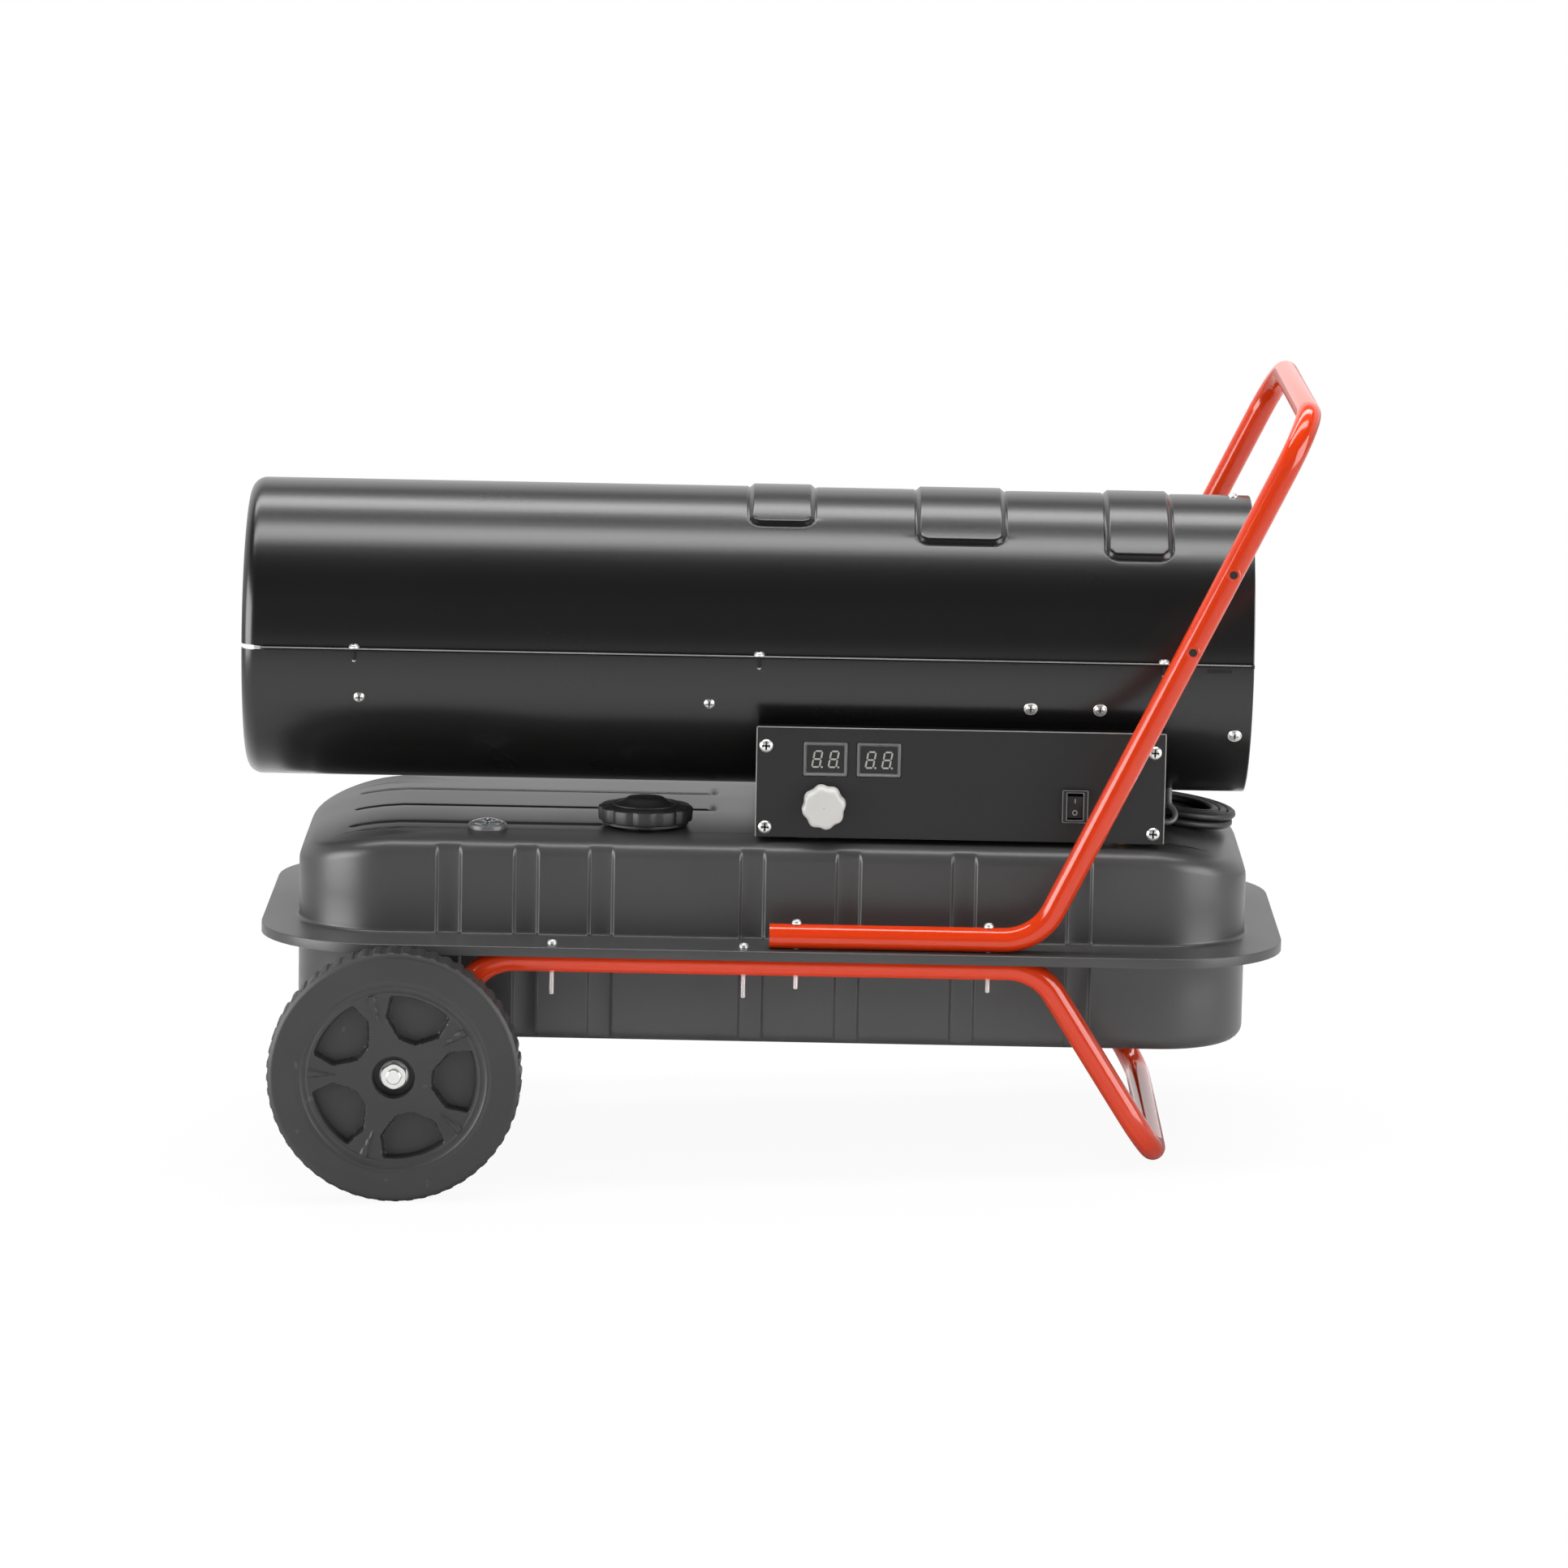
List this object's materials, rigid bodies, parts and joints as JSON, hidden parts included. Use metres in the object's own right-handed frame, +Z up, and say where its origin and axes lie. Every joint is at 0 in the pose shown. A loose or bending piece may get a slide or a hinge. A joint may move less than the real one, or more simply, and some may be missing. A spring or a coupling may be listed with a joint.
{
  "type": "forced air heater",
  "caption": "Wheeled torpedo heater: a fan and oil burner in a two-shell barrel over a pressed fuel tank, with a control panel, bent-tube frame and push handle.",
  "frame": {"origin": "on the floor, under the middle of the heater without its cord", "axes": "+X from the hot air outlet to the push handle, +Y away from the control panel, +Z up"},
  "size_m": [0.8826, 0.484, 0.6203],
  "materials": {
    "barrel_paint": "semi-gloss baked black enamel",
    "tank_paint": "satin dark grey powder coat",
    "panel_paint": "satin black powder coat",
    "red_paint": "gloss orange-red enamel",
    "zinc": "bright zinc plate",
    "heat_tinted_steel": "bare sheet steel, dulled by heat",
    "brass": "machined",
    "aluminium": "as cast",
    "wheel_plastic": "matt moulded",
    "black_plastic": "smooth moulded",
    "grey_plastic": "smooth moulded",
    "ceramic": "glazed white ceramic",
    "rubber": "soft black",
    "clear_plastic": "clear",
    "circuit_board": "green lacquered board"
  },
  "bodies": {
    "heater": {"tank_upper": "tank_paint", "tank_lower": "tank_paint", "filler_neck": "zinc", "fuel_strainer": "zinc", "gauge_body": "zinc", "gauge_lens": "clear_plastic", "drain_plug": "zinc", "fuel_pickup": "brass", "upper_shell": "barrel_paint", "lower_shell": "barrel_paint", "combustion_chamber": "heat_tinted_steel", "outlet_baffle": "heat_tinted_steel", "burner_head": "heat_tinted_steel", "nozzle": "brass", "igniter": "ceramic", "photocell": "black_plastic", "motor_body": "tank_paint", "motor_bracket": "zinc", "pump_body": "aluminium", "filter_cover": "black_plastic", "intake_guard": "zinc", "air_hose": "clear_plastic", "fuel_hose": "clear_plastic", "control_box": "panel_paint", "control_panel": "panel_paint", "display_left": "black_plastic", "display_right": "black_plastic", "control_board": "circuit_board", "thermostat_body": "zinc", "switch_body": "black_plastic", "ignition_transformer": "black_plastic", "base_frame": "red_paint", "handle_frame": "red_paint", "axle": "zinc", "axle_nut_left": "zinc", "axle_nut_right": "zinc", "cord_gland": "rubber", "cord_lead": "rubber", "cord_coil": "rubber", "cord_tail": "rubber", "cord_plug": "rubber", "handle_screw_left_1": "zinc", "handle_screw_left_2": "zinc", "flange_screw_left_1": "zinc", "flange_screw_left_2": "zinc", "handle_screw_right_1": "zinc", "handle_screw_right_2": "zinc", "flange_screw_right_1": "zinc", "flange_screw_right_2": "zinc"},
    "fan": {"fan_rotor": "aluminium", "motor_shaft": "zinc", "pump_rotor": "heat_tinted_steel"},
    "left_wheel": {"wheel_left": "wheel_plastic"},
    "right_wheel": {"wheel_right": "wheel_plastic"},
    "thermostat": {"thermostat_knob": "grey_plastic"},
    "rocker": {"switch_rocker": "black_plastic"},
    "cap_seal": {"cap_gasket": "rubber"},
    "cap": {"fuel_cap": "black_plastic"},
    "float": {"float_arm": "brass"},
    "pointer": {"gauge_pointer": "red_paint"}
  },
  "joints": [
    {"name": "wheel_left_spin", "type": "hinge", "parent": "heater", "child": "left_wheel", "pos_m": [-0.31687, -0.223, 0.1027], "axis": [0, 1, 0], "continuous": true},
    {"name": "wheel_right_spin", "type": "hinge", "parent": "heater", "child": "right_wheel", "pos_m": [-0.31687, 0.223, 0.1027], "axis": [0, 1, 0], "continuous": true},
    {"name": "fan_spin", "type": "hinge", "parent": "heater", "child": "fan", "pos_m": [0.16839, 0, 0.4119], "axis": [0.9991, 0, -0.043], "continuous": true},
    {"name": "thermostat_turn", "type": "hinge", "parent": "heater", "child": "thermostat", "pos_m": [0.03404, -0.1318, 0.29747], "axis": [0, 1, 0], "range_deg": [-135, 135]},
    {"name": "rocker_tilt", "type": "hinge", "parent": "heater", "child": "rocker", "pos_m": [0.23831, -0.1285, 0.29228], "axis": [0.9991, 0, -0.043], "range_deg": [-18, 0]},
    {"name": "cap_lift", "type": "slide", "parent": "heater", "child": "cap_seal", "axis": [0.043, 0, 0.9991], "range_m": [0, 0.006]},
    {"name": "cap_turn", "type": "hinge", "parent": "cap_seal", "child": "cap", "pos_m": [-0.1124, -0.074, 0.29037], "axis": [0.043, 0, 0.9991], "range_deg": [0, 720]},
    {"name": "float_swing", "type": "hinge", "parent": "heater", "child": "float", "pos_m": [-0.24313, -0.095, 0.24596], "axis": [0.9991, 0, -0.043], "range_deg": [0, 46]},
    {"name": "pointer_turn", "type": "hinge", "parent": "heater", "child": "pointer", "pos_m": [-0.2415, -0.095, 0.28392], "axis": [0.043, 0, 0.9991], "range_deg": [-92, 0]}
  ],
  "couplings": [
    {"joint": "cap_lift", "follows": "cap_turn", "m_per_rad": 0.00047746},
    {"joint": "pointer_turn", "follows": "float_swing", "ratio": -2}
  ]
}
